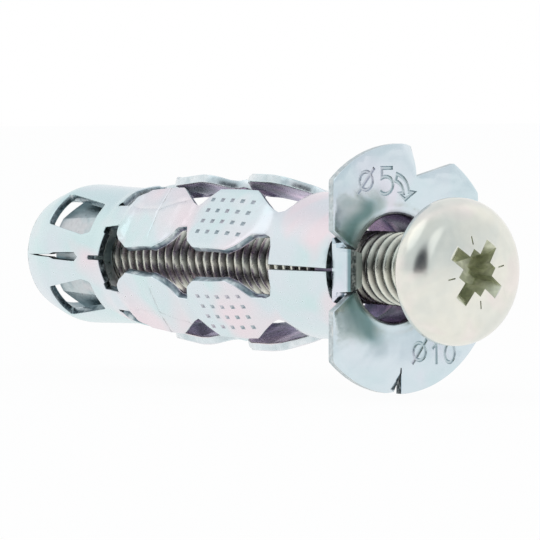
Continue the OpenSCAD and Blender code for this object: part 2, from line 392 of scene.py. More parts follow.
def mixed(tree, factor, a, b, blend="MIX"):
    """A colour made of two others."""
    return add_node(tree, "ShaderNodeMix", {"Factor": factor, 6: a, 7: b}, data_type="RGBA",
                    blend_type=blend).outputs[2]


def ranged(tree, value, low, high, to_low=0.0, to_high=1.0, curve="LINEAR"):
    """A value moved from one range to another."""
    return add_node(tree, "ShaderNodeMapRange", {"Value": value, "From Min": low, "From Max": high,
                                                 "To Min": to_low, "To Max": to_high},
                    interpolation_type=curve).outputs["Result"]


def new_group(name, kind, inputs, outputs):
    """A node group with named sockets. Returns the tree, its input node and its output node."""
    tree = bpy.data.node_groups.new(name, kind)
    for socket_name, socket_kind, default in inputs:
        socket = tree.interface.new_socket(socket_name, in_out="INPUT", socket_type=socket_kind)
        if default is not None:
            socket.default_value = default
    for socket_name, socket_kind in outputs:
        tree.interface.new_socket(socket_name, in_out="OUTPUT", socket_type=socket_kind)
    return tree, tree.nodes.new("NodeGroupInput"), tree.nodes.new("NodeGroupOutput")


def plating_group():
    """Thin passivated plating: cloudy tints on a light metal, with a fine grain."""
    tree, given, made = new_group(
        "plating", "ShaderNodeTree",
        [("Plain", "NodeSocketColor", (0.8, 0.85, 0.9, 1)), ("Cool", "NodeSocketColor", (0.7, 0.85, 0.9, 1)),
         ("Warm", "NodeSocketColor", (0.9, 0.78, 0.86, 1)), ("Cloud size", "NodeSocketFloat", 250.0),
         ("Grain size", "NodeSocketFloat", 5000.0), ("Roughness", "NodeSocketFloat", 0.3),
         ("Mottle", "NodeSocketFloat", 0.1)],
        [("Color", "NodeSocketColor"), ("Roughness", "NodeSocketFloat"), ("Height", "NodeSocketFloat")])
    place = add_node(tree, "ShaderNodeTexCoord").outputs["Object"]
    shifted = add_node(tree, "ShaderNodeVectorMath", {0: place, 1: (0.031, 0.017, 0.023)}, operation="ADD")
    size = given.outputs["Cloud size"]
    cloud = add_node(tree, "ShaderNodeTexNoise", {"Vector": place, "Scale": size, "Detail": 3.0,
                                                  "Distortion": 0.6})
    other = add_node(tree, "ShaderNodeTexNoise", {"Vector": shifted.outputs[0], "Scale": size, "Detail": 2.0,
                                                  "Distortion": 0.4})
    grain = add_node(tree, "ShaderNodeTexNoise", {"Vector": place, "Scale": given.outputs["Grain size"],
                                                  "Detail": 4.0})
    colour = mixed(tree, ranged(tree, cloud.outputs["Fac"], 0.42, 0.62), given.outputs["Plain"],
                   given.outputs["Cool"])
    colour = mixed(tree, ranged(tree, other.outputs["Fac"], 0.5, 0.68), colour, given.outputs["Warm"])
    low = math_node(tree, "SUBTRACT", 1.0, given.outputs["Mottle"])
    colour = mixed(tree, 1.0, colour, ranged(tree, grain.outputs["Fac"], 0.3, 0.7, low), "MULTIPLY")
    rough = math_node(tree, "MULTIPLY_ADD", grain.outputs["Fac"], 0.16, given.outputs["Roughness"])
    socket_value(made.inputs["Color"], colour)
    socket_value(made.inputs["Roughness"], rough)
    socket_value(made.inputs["Height"], grain.outputs["Fac"])
    return tree


plating = plating_group()


def metal(name, bump, **values):
    """A plated metal whose colour, roughness and grain come from the plating group."""
    material = bpy.data.materials.new(name)
    material.use_nodes = True
    tree = material.node_tree
    surface = tree.nodes["Principled BSDF"]
    surface.inputs["Metallic"].default_value = 1.0
    finish = add_node(tree, "ShaderNodeGroup", node_tree=plating)
    for key, value in values.items():
        value = (*value, 1) if isinstance(value, tuple) else value
        finish.inputs[key.replace("_", " ").capitalize()].default_value = value
    relief = add_node(tree, "ShaderNodeBump", {"Height": finish.outputs["Height"], "Strength": bump,
                                               "Distance": 0.00002})
    socket_value(surface.inputs["Base Color"], finish.outputs["Color"])
    socket_value(surface.inputs["Roughness"], finish.outputs["Roughness"])
    socket_value(surface.inputs["Normal"], relief.outputs["Normal"])
    material.diffuse_color = (*values["plain"], 1)
    return material


def base_of(material):
    """A material's tree, its colour socket and the colour that feeds it."""
    socket = material.node_tree.nodes["Principled BSDF"].inputs["Base Color"]
    return material.node_tree, socket, socket.links[0].from_socket


def object_xyz(tree):
    """The object's own coordinates, whole and split."""
    place = add_node(tree, "ShaderNodeTexCoord").outputs["Object"]
    return place, add_node(tree, "ShaderNodeSeparateXYZ", {0: place}).outputs


sleeve_outer = metal("sleeve_zinc", 0.1, plain=(0.73, 0.80, 0.84), cool=(0.66, 0.81, 0.82),
                     warm=(0.86, 0.76, 0.80), cloud_size=170.0, grain_size=2600.0, roughness=0.17,
                     mottle=0.03)
sleeve_cut = metal("sleeve_sheared_edge", 0.8, plain=(0.50, 0.59, 0.63), cool=(0.24, 0.32, 0.36),
                   warm=(0.74, 0.81, 0.83), cloud_size=1100.0, grain_size=4200.0, roughness=0.22,
                   mottle=0.35)
# a lighter, smoother copy of the sheared edge for the far legs: the smoother grain is burnish, the lightness
# is painted light
sleeve_lit_strip = metal("sleeve_edge_painted_light", 0.3, plain=(0.78, 0.85, 0.88), cool=(0.64, 0.73, 0.76),
                     warm=(0.88, 0.92, 0.94), cloud_size=700.0, grain_size=4200.0, roughness=0.2,
                     mottle=0.12)
# the inside of the sheet: the purple tint of its plating, darkened as painted shade for the inside of the
# tube
sleeve_inner_shaded = metal("sleeve_zinc_inside_shaded", 0.2, plain=(0.42, 0.33, 0.55), cool=(0.15, 0.16, 0.25),
                     warm=(0.92, 0.70, 0.92), cloud_size=330.0, grain_size=2600.0, roughness=0.2,
                     mottle=0.06)
tree, base, finish = base_of(sleeve_inner_shaded)
_, spot = object_xyz(tree)
# painted shade: greyer and darker from the slots' ends towards the tail round the nut, and darkest at the
# slots' ends
in_tail = ranged(tree, spot["X"], -0.0265, -0.0295)
tail_shaded = mixed(tree, in_tail, finish, (0.22, 0.30, 0.33, 1))
from_slot = math_node(tree, "ABSOLUTE", math_node(tree, "ADD", spot["X"], 0.0269))
slot_shade = ranged(tree, from_slot, 0.0008, 0.0015, 0.22)
socket_value(base, mixed(tree, 1.0, tail_shaded, slot_shade, "MULTIPLY"))
# a granular sheared edge darkened with painted shade, for the edges in the gaps under the flange, at the
# slots' ends and in the split
sleeve_shaded_edge = metal("sleeve_edge_painted_shade", 0.9, plain=(0.10, 0.13, 0.14), cool=(0.02, 0.03, 0.03),
                    warm=(0.42, 0.50, 0.51), cloud_size=1800.0, grain_size=5200.0, roughness=0.5, mottle=0.8)
# a darker material on the pits' walls and floors: painted shade in the dimples
sleeve_pit_shaded = metal("sleeve_dimple_painted_shade", 0.2, plain=(0.58, 0.64, 0.68), cool=(0.48, 0.56, 0.60),
                   warm=(0.66, 0.64, 0.70), cloud_size=700.0, grain_size=4200.0, roughness=0.28, mottle=0.2)


def shelled(name, faces, front, back, materials, finishes, back_finish, edge_finish, sharp_at, softness):
    """A closed sheet between two sets of points: its faces, its back and its cut edges, which are softened
    except where sharp_at says."""
    piece = as_piece(name, [], [], materials)
    with edited(piece.data) as shape:
        under = shape.verts.layers.float_vector.new("under")
        verts = [shape.verts.new(p) for p in front]
        for vert, p in zip(verts, back):
            vert[under] = p
        for face, finish in zip(faces, finishes):
            shape.faces.new([verts[k] for k in face]).material_index = finish
        bmesh.ops.remove_doubles(shape, verts=shape.verts, dist=0.01)
        faced_out(shape)
        sheet_faces = list(shape.faces)
        rim = [(e.link_loops[0].vert, e.link_loops[0].link_loop_next.vert)
               for e in shape.edges if len(e.link_faces) == 1]
        behind = {v: shape.verts.new(v[under]) for v in list(shape.verts)}
        for face in sheet_faces:
            shape.faces.new([behind[v] for v in reversed(face.verts)]).material_index = back_finish
        soft = shape.edges.layers.float.new("bevel_weight_edge")
        for start, end in rim:
            face = shape.faces.new((end, start, behind[start], behind[end]))
            middle = (start.co + end.co) / 2
            face.material_index = edge_finish(middle)
            if not sharp_at(middle):
                face.edges[0][soft] = face.edges[2][soft] = 1
        faced_out(shape)
        shape.verts.layers.float_vector.remove(shape.verts.layers.float_vector["under"])
    add_modifier(piece, "BEVEL", width=softness, segments=2, limit_method="WEIGHT", material=0,
                 use_clamp_overlap=False)
    return piece


def sleeve_edge(middle):
    """The sheared edge's finish: granular and darkened with painted shade under the flange, at the slot's end
    and in the split, and lighter and smoother on the far legs, where the lightness is painted light."""
    painted_shade_edge, burnished_and_lit, sheared = 4, 5, 1
    in_shade = -1.34 < middle.x < -0.5 or slot_tip - 0.05 < middle.x < root_x - 0.2
    in_split = middle.x < tail_x + 7.2 and abs(middle.z) < 0.4
    if middle.y < -3 and (in_shade or in_split):
        return painted_shade_edge
    return burnished_and_lit if middle.y > -2.6 and root_x < middle.x < collar_x else sheared


def at_split_end(middle):
    """The narrow end of the split, whose edges are left sharp."""
    return middle.x < tail_x + 1.3 and abs(middle.z) < 0.3 and middle.y < 0


sleeve_faces, finishes, outside, inside = [], [], [], []
pit_shade, inner_finish = 3, 2
for number in range(legs):
    angle = (number + 0.5) * leg_pitch
    mirrored = angle > math.pi + 0.01
    if mirrored:
        angle = 2 * math.pi - angle
    blank = [Vector(p) for p in sector_outline(number in (0, legs - 1))]
    spots, faces = filled(blank, [tail_window(angle)], 0.42, pits + pit_floors + star_rings + star_lines)
    side = np.array((1, 1, -1 if mirrored else 1))
    sleeve_faces += [[len(outside) + k for k in (f[::-1] if mirrored else f)] for f in faces]
    middles = np.array([spots[f].mean(0) for f in faces])
    in_pit = np.any([within(middles, ring) for ring in pits], axis=0)
    finishes += [pit_shade if hit else 0 for hit in in_pit]
    outside += list(rolled(spots, angle) * side)
    inside += list(rolled(spots, angle, sheet) * side)
anchor_body = shelled("sleeve_sheet", sleeve_faces, outside, inside,
                      [sleeve_outer, sleeve_cut, sleeve_inner_shaded, sleeve_pit_shaded, sleeve_shaded_edge, sleeve_lit_strip],
                      finishes, inner_finish, sleeve_edge, at_split_end, 0.07)
settled(anchor_body, 38)
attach(anchor_body, "anchor")
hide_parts("anchor_sleeve")


# ---------------------------------------------------------------- nut
# A plain hexagon nut, zinc plated, dropped into the tail before it is crimped. Its corners show in
# the windows, and the crimped shoulder and the narrowed waist of the tail hold it.

# darker than the sleeve's zinc: painted shade for the nut inside the tail
shaded_nut_metal = metal("nut_zinc_painted_shade", 0.3, plain=(0.58, 0.66, 0.68), cool=(0.40, 0.50, 0.53),
                  warm=(0.66, 0.68, 0.70), cloud_size=500.0, grain_size=3800.0, roughness=0.22, mottle=0.15)
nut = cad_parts["captive_nut"]
nut.data.materials.clear()
nut.data.materials.append(shaded_nut_metal)
add_modifier(nut, "BEVEL", width=0.00012, segments=2, limit_method="ANGLE", angle_limit=math.radians(25))


# ---------------------------------------------------------------- flange
# The flanged bush is pressed from zinc plated sheet: a plate with two flats, a notch and two teeth that
# bite the wall, and a drawn neck that fits the collar. Its front is stamped with the size of the screw
# and of the hole, and a turning arrow. It is open over the sleeve's seam.

flange_low, flange_high = in_mm("wall_flange")
flange_t = 0.6  # thickness of the plate
flange_r = 8.25
near_flat = -flange_low.y
far_flat = flange_high.y
bore_r = 3.49
neck_wall = 0.85
neck_len = 3.2
mouth = 1.0  # rounding from the plate into the bore
mouth_r = bore_r + mouth
dish = 0.16  # how far the plate dips at the mouth
gap_angle = math.radians(20.7)  # half of the opening over the seam, in the plate
tab_angle = math.radians(18)  # half of the tab that fills it
notch_foot = Vector((1.28, 6.06))
slit_foot = Vector((-0.1, -6.52))
tooth_bend = math.radians(34)
# each tooth bends about a line from the rim to a foot, above or below the axis
hinges = [(Vector((-0.1, flange_r)), notch_foot, 1), (Vector((-1.82, -flange_r)), slit_foot, -1)]


def rim_arc(start, end, count):
    """Points on the plate's rim between two angles in degrees, flattened on its two sides."""
    out = []
    for a in np.radians(np.linspace(start, end, count)):
        y = min(max(flange_r * math.cos(a), -near_flat), far_flat)
        out.append(Vector((y, flange_r * math.sin(a))))
    return out


def mouth_angles():
    """Angles round the mouth, clear of the gap over the seam, which faces -Y."""
    return np.linspace(-math.pi + gap_angle, math.pi - gap_angle, 73)


def plate_outline():
    """Outline of the plate as [y, z], with the notch, the slit and the opening over the seam."""
    gap_z = 2.63
    ring = [Vector((math.cos(a), math.sin(a))) * mouth_r for a in mouth_angles()]
    rim = rim_arc(56.4, -90, 60)
    slit = [Vector((0, slit_foot.y)), Vector((slit_foot.x, slit_foot.y))]
    left = rim_arc(-90.7, -136, 22) + [Vector((-near_flat, -gap_z))]
    left_up = [Vector((-near_flat, gap_z))] + rim_arc(136, 81.1, 26)
    return rim + slit + left + ring + left_up + [notch_foot.copy()]


def dished(y, z):
    """Height of the plate's front, which dips towards the mouth."""
    return flange_t - dish * (1 - smoothstep(np.hypot(y, z), mouth_r - 0.8, mouth_r + 2.0))


def bent_plate(spots, deep=0.0):
    """Places flat points [y, z] of the plate, or deep under them, with its teeth bent."""
    y, z = spots.T.copy()
    x = dished(y, z)
    tilt, lean_y, lean_z = np.zeros(len(y)), np.zeros(len(y)), np.zeros(len(y))
    soft = 0.55
    for start, end, side in hinges:
        run = (end - start).normalized()
        out = np.array((-run.y, run.x)) * side
        d = (y - start.x) * out[0] + (z - start.y) * out[1]
        foot = notch_foot if side > 0 else slit_foot
        on = (d > 0) & (z * side > 0) & (y < foot.x + 0.01)
        bow = np.minimum(d, soft) * tooth_bend / soft
        fall = soft / tooth_bend * (1 - np.cos(bow)) + np.maximum(d - soft, 0) * math.sin(tooth_bend)
        reach = soft / tooth_bend * np.sin(bow) + np.maximum(d - soft, 0) * math.cos(tooth_bend)
        x = np.where(on, x - fall, x)
        y = np.where(on, y + (reach - d) * out[0], y)
        z = np.where(on, z + (reach - d) * out[1], z)
        tilt = np.where(on, bow, tilt)
        lean_y, lean_z = np.where(on, out[0], lean_y), np.where(on, out[1], lean_z)
    x = x - deep * np.cos(tilt)
    return np.stack([x, y - deep * np.sin(tilt) * lean_y, z - deep * np.sin(tilt) * lean_z], axis=1)


def arc(y, z, half_y, half_z, start=0, end=342, count=20):
    """Points on an ellipse between two angles in degrees. By itself it goes all the way round."""
    return [Vector((y + half_y * math.cos(a), z + half_z * math.sin(a)))
            for a in np.radians(np.linspace(start, end, count))]


def marks():
    """Stamped sizes and a turning arrow as lines [points, closed] on the plate's front."""
    bowl = arc(-1.36, 5.52, 0.62, 0.58, 125, -140, 12)
    outer_turn = arc(-0.82, 4.78, 1.52, 1.52, 74, 10, 7)
    inner_turn = arc(-0.82, 4.78, 1.06, 1.06, 10, 74, 7)
    return [
        (arc(-3.05, 5.84, 0.55, 0.6), True), ([Vector((-3.75, 5.0)), Vector((-2.35, 6.68))], False),
        ([Vector((-0.78, 6.66)), Vector((-1.72, 6.66))] + bowl, False),
        (outer_turn + [Vector((1.12, 5.02)), Vector((0.4, 4.56)), Vector((-0.12, 4.98))] + inner_turn, True),
        (arc(1.55, -5.5, 0.52, 0.58), True), ([Vector((0.9, -6.3)), Vector((2.2, -4.7))], False),
        ([Vector((2.65, -5.35)), Vector((3.0, -5.02)), Vector((3.0, -6.4))], False),
        (arc(4.15, -5.66, 0.42, 0.66), True),
    ]


def stroke(shape, points, closed):
    """Adds one solid with sloping sides that follows a line and cuts a shallow groove."""
    wide, deep, proud = 0.12, 0.1, 0.08
    count = len(points)
    rings = []
    for i, here in enumerate(points):
        back = points[i - 1] if closed or i else here - (points[1] - here)
        ahead = points[(i + 1) % count] if closed or i < count - 1 else here + (here - points[i - 1])
        before, after = (here - back).normalized(), (ahead - here).normalized()
        across = Vector((-(before + after).y, (before + after).x)).normalized()
        across /= max(across.dot(Vector((-before.y, before.x))), 0.5)
        level = float(dished(here.x, here.y))
        rings.append([shape.verts.new((level + x, *(here + across * half))) for x, half in
                      ((proud, wide * 1.5), (-deep, wide * 0.5), (-deep, -wide * 0.5), (proud, -wide * 1.5))])
    for i in range(count if closed else count - 1):
        near, far = rings[i], rings[(i + 1) % count]
        for k in range(4):
            shape.faces.new((near[k], near[(k + 1) % 4], far[(k + 1) % 4], far[k]))
    if not closed:
        shape.faces.new(rings[0])
        shape.faces.new(rings[-1][::-1])


def revolved(profile, angles, closed):
    """Points and quads of a profile [x, radius] turned round the axis."""
    verts = [(x, r * math.cos(a), r * math.sin(a)) for a in angles for x, r in profile]
    count, faces = len(profile), []
    turns = len(angles) if closed else len(angles) - 1
    for i in range(turns):
        j = (i + 1) % len(angles)
        for k in range(count - 1):
            faces.append([i * count + k, i * count + k + 1, j * count + k + 1, j * count + k])
    return verts, faces


flange_front = metal("flange_zinc", 0.25, plain=(0.72, 0.80, 0.85), cool=(0.66, 0.78, 0.82),
                     warm=(0.78, 0.78, 0.86), cloud_size=200.0, grain_size=2600.0, roughness=0.13,
                     mottle=0.03)
tree, base, finish = base_of(flange_front)
place, spot = object_xyz(tree)
radius = math_node(tree, "SQRT", math_node(tree, "ADD", math_node(tree, "POWER", spot["Y"], 2.0),
                                           math_node(tree, "POWER", spot["Z"], 2.0)))
waves = add_node(tree, "ShaderNodeTexNoise", {"Vector": place, "Scale": 330.0, "Detail": 1.5,
                                              "Distortion": 0.8}).outputs["Fac"]
radius = math_node(tree, "MULTIPLY_ADD", waves, -0.0022, radius)
# painted reflection: a dark teal patch beside the mouth on the seam's side of the front, for the screw's
# shaded side mirrored in the plate, which leaves the mouth's lip clear
painted_reflection = math_node(tree, "MULTIPLY", ranged(tree, radius, 0.0052, 0.0036, curve="SMOOTHSTEP"),
                    ranged(tree, spot["Y"], -0.001, -0.0026))
painted_reflection = math_node(tree, "MULTIPLY", painted_reflection, ranged(tree, spot["X"], 0.0002, 0.0004))
painted_reflection = math_node(tree, "MULTIPLY", painted_reflection, ranged(tree, radius, 0.0027, 0.0034, 0.25))
socket_value(base, mixed(tree, painted_reflection, finish, (0.30, 0.42, 0.42, 1), "MULTIPLY"))
relief = tree.nodes["Principled BSDF"].inputs["Normal"].links[0].from_node
sway = add_node(tree, "ShaderNodeBump", {"Height": waves, "Strength": 0.5, "Distance": 0.0002})
socket_value(relief.inputs["Normal"], sway.outputs["Normal"])
flange_cut = metal("flange_sheared_edge", 0.9, plain=(0.70, 0.77, 0.79), cool=(0.56, 0.64, 0.66),
                   warm=(0.80, 0.83, 0.83), cloud_size=1500.0, grain_size=5200.0, roughness=0.3, mottle=0.3)
# a dark material for the neck inside the collar and for the bore: painted shade
flange_shade = metal("flange_neck", 0.4, plain=(0.16, 0.14, 0.20), cool=(0.07, 0.08, 0.11),
                     warm=(0.30, 0.20, 0.30), cloud_size=420.0, grain_size=2600.0, roughness=0.2, mottle=0.1)


def flange_edge(middle):
    """The sheared edge's finish, torn at the end of the tab and in the slit."""
    torn, sheared = 4, 1
    in_slit = middle.z < slit_foot.y and -0.6 < middle.y < 0.2
    on_tab_end = middle.x > 0.5 and abs(middle.z) < 1.5 and -bore_r - 0.2 < middle.y < 0
    return torn if in_slit or on_tab_end else sheared


def at_slit_end(middle):
    """The narrow end of the slit, whose edges are left sharp."""
    return abs(middle.y) < 0.3 and -6.8 < middle.z < -6.3


spots, plate_faces = filled(plate_outline(), [], 0.45)
dip = flange_t - bent_plate(np.array([[-mouth_r, 0.0]]))[0, 0]
quarter, quarter_back = [], []
for a in np.linspace(0, math.pi / 2, 10):
    x, r = flange_t - mouth + (mouth - dip) * math.sin(a), mouth_r - mouth * math.cos(a)
    wall = neck_wall + (flange_t - neck_wall) * smoothstep(a, 0, math.pi / 2)
    quarter.append((x, r))
    quarter_back.append((x - wall * math.sin(a), r + wall * math.cos(a)))

# rows of points along the tab and the neck as [x, how far the tab stands out of the neck]
tab_foot, plate_back = -1.1, flange_t - mouth
tab_rows = [(plate_back, 0.16), (0.1, 0.08), (flange_t - 0.05, 0)]
neck_rows = [(-neck_len, 0), (-2.4, 0), (-1.4, 0), (-1.22, 0), (tab_foot, 0.2), (-0.7, 0.18),
             (plate_back, 0.16)]
gap_angles = np.linspace(math.pi - tab_angle, math.pi + tab_angle, 11)
neck_angles = np.concatenate([mouth_angles(), gap_angles])


def off_seam(angle):
    """How far round from the seam an angle lies."""
    return abs(abs(math.remainder(angle, 2 * math.pi)) - math.pi)


def inner_r(x, stand_out, angle):
    """Radius of the bore, which is flat on the tab over the seam, however far the tab stands out."""
    off = off_seam(angle)
    if x < tab_foot - 0.2 or off > tab_angle + 1e-6:
        return bore_r
    return bore_r * math.cos(tab_angle) / math.cos(off)


def outer_r(x, stand_out, angle):
    """Radius of the neck's outside, which is a flat tab over the seam, wider at its foot."""
    off = off_seam(angle)
    neck_r = bore_r + neck_wall
    if x < tab_foot - 0.05 or (x > plate_back - 0.1 and off > tab_angle + 1e-6):
        return neck_r
    half = float(np.interp(x, [tab_foot, plate_back], [0.43, tab_angle]))
    on_tab = 1 - smoothstep(off, half, half + 0.06)
    return neck_r + on_tab * ((neck_r + stand_out) / math.cos(min(off, 0.6)) - neck_r)


def turned(rows, angles, radius_at):
    """Points of a turned surface whose radius also changes round the axis."""
    points = []
    for angle in angles:
        for x, stand_out in rows:
            r = radius_at(x, stand_out, angle)
            points.append((x, r * math.cos(angle), r * math.sin(angle)))
    return points


mouth_front, mouth_faces = revolved(quarter, mouth_angles(), False)
parts = [(bent_plate(spots), bent_plate(spots, flange_t), plate_faces),
         (mouth_front, revolved(quarter_back, mouth_angles(), False)[0], mouth_faces)]
for rows, angles, closed in ((tab_rows, gap_angles, False), (neck_rows, neck_angles, True)):
    parts.append((turned(rows, angles, inner_r), turned(rows, angles, outer_r),
                  revolved(rows, angles, closed)[1]))
front, back, faces = [], [], []
for front_part, back_part, part_faces in parts:
    faces += [[len(front) + k for k in f] for f in part_faces]
    front += [tuple(v) for v in front_part]
    back += [tuple(v) for v in back_part]
flange = shelled("flange_bush", faces, front, back, [flange_front, flange_cut, flange_shade],
                 [0] * len(faces), 0, flange_edge, at_slit_end, 0.06)
flange_mark = metal("flange_stamping", 0.1, plain=(0.60, 0.68, 0.72), cool=(0.54, 0.64, 0.67),
                    warm=(0.66, 0.66, 0.74), cloud_size=300.0, grain_size=2600.0, roughness=0.2, mottle=0.05)
flange_grit = metal("flange_neck_end", 0.9, plain=(0.30, 0.34, 0.35), cool=(0.06, 0.08, 0.09),
                    warm=(0.70, 0.74, 0.74), cloud_size=3200.0, grain_size=5200.0, roughness=0.34, mottle=0.8)
tree, base, finish = base_of(flange_grit)
_, spot = object_xyz(tree)
near_bore = ranged(tree, spot["Y"], -0.00392, -0.00378)
on_tab = math_node(tree, "LESS_THAN", math_node(tree, "ABSOLUTE", spot["Z"]), 0.002)
burnished_and_lit = math_node(tree, "MULTIPLY", near_bore, on_tab)
socket_value(base, mixed(tree, burnished_and_lit, finish, (0.58, 0.63, 0.62, 1)))
for material in (flange_mark, flange_grit):
    flange.data.materials.append(material)
cutter = as_piece("mark_cutter", [], [], [flange_mark])
with edited(cutter.data) as shape:
    for points, closed in marks():
        stroke(shape, points, closed)
    faced_out(shape)
add_modifier(flange, "BOOLEAN", operation="DIFFERENCE", object=cutter, solver="EXACT", use_self=True)
settled(flange, 38)
bpy.data.objects.remove(cutter)
# painted shade: the neck inside the collar and the bore have the darker material
shade_finish, neck_shade_x = 2, -1.25
for face in flange.data.polygons:
    x, y, z = face.center / MM
    if x < neck_shade_x or (x < flange_t - mouth * 0.6 and math.hypot(y, z) < bore_r + 0.1):
        face.material_index = shade_finish
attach(flange, "anchor")
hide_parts("wall_flange")


# ---------------------------------------------------------------- screw
# A pan head machine screw with a coarse 5 mm thread and a cross recess with tick marks between its
# arms. It is cold formed and thread rolled, with a satin nickel-warm plating.

screw_low, screw_high = in_mm("machine_screw")
pitch = 0.88
crest_r = 2.45
thread_depth = 0.47
head_r = (screw_high.y - screw_low.y) / 2
head_x = 5.6
head_top = screw_high.x


def thread_tree():
    """A rolled thread: a sheet of points wound round the axis, whose radius follows the helix."""
    tree, given, made = new_group(
        "rolled_thread", "GeometryNodeTree",
        [("Length", "NodeSocketFloat", 40.0), ("Pitch", "NodeSocketFloat", pitch),
         ("Crest radius", "NodeSocketFloat", crest_r), ("Depth", "NodeSocketFloat", thread_depth),
         ("Start", "NodeSocketFloat", head_x), ("Point", "NodeSocketFloat", 0.7),
         ("Around", "NodeSocketInt", 57), ("Along", "NodeSocketInt", 551),
         ("Finish", "NodeSocketMaterial", None)],
        [("Geometry", "NodeSocketGeometry")])
    grid = add_node(tree, "GeometryNodeMeshGrid", {"Size X": 1.0, "Size Y": 1.0,
                                                   "Vertices X": given.outputs["Around"],
                                                   "Vertices Y": given.outputs["Along"]})
    spot = add_node(tree, "GeometryNodeInputPosition").outputs[0]
    here = add_node(tree, "ShaderNodeSeparateXYZ", {0: spot})
    around = math_node(tree, "ADD", here.outputs["X"], 0.5)
    share = math_node(tree, "ADD", here.outputs["Y"], 0.5)
    along = math_node(tree, "MULTIPLY", share, given.outputs["Length"])
    turns = math_node(tree, "DIVIDE", along, given.outputs["Pitch"])
    phase = math_node(tree, "FRACT", math_node(tree, "ADD", turns, around))
    ridge = math_node(tree, "ABSOLUTE", math_node(tree, "SUBTRACT", phase, 0.5))
    flank = ranged(tree, ridge, 0.1, 0.46)
    kept = add_node(tree, "GeometryNodeStoreNamedAttribute",
                    {"Geometry": grid.outputs["Mesh"], "Name": "root", "Value": flank},
                    data_type="FLOAT", domain="POINT")
    cut = math_node(tree, "MULTIPLY", flank, given.outputs["Depth"])
    radius = math_node(tree, "SUBTRACT", given.outputs["Crest radius"], cut)
    left = math_node(tree, "SUBTRACT", given.outputs["Length"], along)
    point = math_node(tree, "SUBTRACT", given.outputs["Point"], left)
    point = math_node(tree, "MAXIMUM", point, 0.0)
    limit = math_node(tree, "SUBTRACT", given.outputs["Crest radius"], point)
    radius = math_node(tree, "MINIMUM", radius, limit)
    angle = math_node(tree, "MULTIPLY", around, 2 * math.pi)
    x = math_node(tree, "SUBTRACT", given.outputs["Start"], along)
    y = math_node(tree, "MULTIPLY", radius, math_node(tree, "COSINE", angle))
    z = math_node(tree, "MULTIPLY", radius, math_node(tree, "SINE", angle))
    place = add_node(tree, "ShaderNodeCombineXYZ", {"X": x, "Y": y, "Z": z})
    wound = add_node(tree, "GeometryNodeSetPosition", {"Geometry": kept.outputs[0],
                                                       "Position": place.outputs[0]})
    joined = add_node(tree, "GeometryNodeMergeByDistance", {"Geometry": wound.outputs[0], "Distance": 0.002})
    solid = add_node(tree, "GeometryNodeRealizeInstances", {"Geometry": joined.outputs[0]})
    coated = add_node(tree, "GeometryNodeSetMaterial", {"Geometry": solid.outputs[0],
                                                        "Material": given.outputs["Finish"]})
    socket_value(made.inputs["Geometry"], coated.outputs[0])
    return tree


def grown(name, tree, values):
    """A piece made by a node tree, with the tree's inputs set by name before it is evaluated."""
    piece = as_piece(name, [], [], [])
    modifier = piece.modifiers.new("grown", "NODES")
    modifier.node_group = tree
    for item in tree.interface.items_tree:
        if item.in_out == "INPUT" and item.name in values:
            modifier[item.identifier] = values[item.name]
    return piece


screw_plating = metal("screw_plating", 0.3, plain=(0.85, 0.84, 0.76), cool=(0.79, 0.80, 0.74),
                      warm=(0.88, 0.82, 0.78), cloud_size=300.0, grain_size=1300.0, roughness=0.14,
                      mottle=0.07)
recess_plating = metal("recess_plating", 0.5, plain=(0.80, 0.82, 0.64), cool=(0.64, 0.67, 0.51),
                       warm=(0.94, 0.94, 0.80), cloud_size=900.0, grain_size=3000.0, roughness=0.4,
                       mottle=0.3)
thread_plating = metal("thread_plating", 0.3, plain=(0.86, 0.86, 0.76), cool=(0.74, 0.76, 0.67),
                       warm=(0.90, 0.86, 0.76), cloud_size=700.0, grain_size=3000.0, roughness=0.2,
                       mottle=0.2)
tree, base, finish = base_of(thread_plating)
root = add_node(tree, "ShaderNodeAttribute", attribute_name="root")
# painted shade: the thread darkens towards its roots
root_shade = ranged(tree, root.outputs["Fac"], 0.4, 0.95, 1.0, 0.14)
socket_value(base, mixed(tree, 1.0, finish, root_shade, "MULTIPLY"))

thread = grown("screw_thread", thread_tree(), {"Length": head_x + 0.4 - screw_low.x, "Start": head_x + 0.4,
                                               "Finish": thread_plating})
settled(thread, 60, 1)
with edited(thread.data) as shape:
    bmesh.ops.holes_fill(shape, edges=[e for e in shape.edges if len(e.link_faces) == 1], sides=0)
    faced_out(shape)


def head_profile():
    """Half section of the pan head as [x, radius], from its underside to its top."""
    edge = 1.8
    crown = 0.34
    height = head_top - head_x
    wall = height - crown - edge
    out = [(0, 0), (0, head_r - 0.1), (0.04, head_r - 0.02), (0.1, head_r)]
    for a in np.linspace(0, math.pi / 2, 12):
        out.append((wall + edge * math.sin(a), head_r - edge + edge * math.cos(a)))
    out += [(height - crown * 0.62, 2.4), (height - crown * 0.25, 1.3), (height, 0)]
    return [(head_x + x, r) for x, r in out]


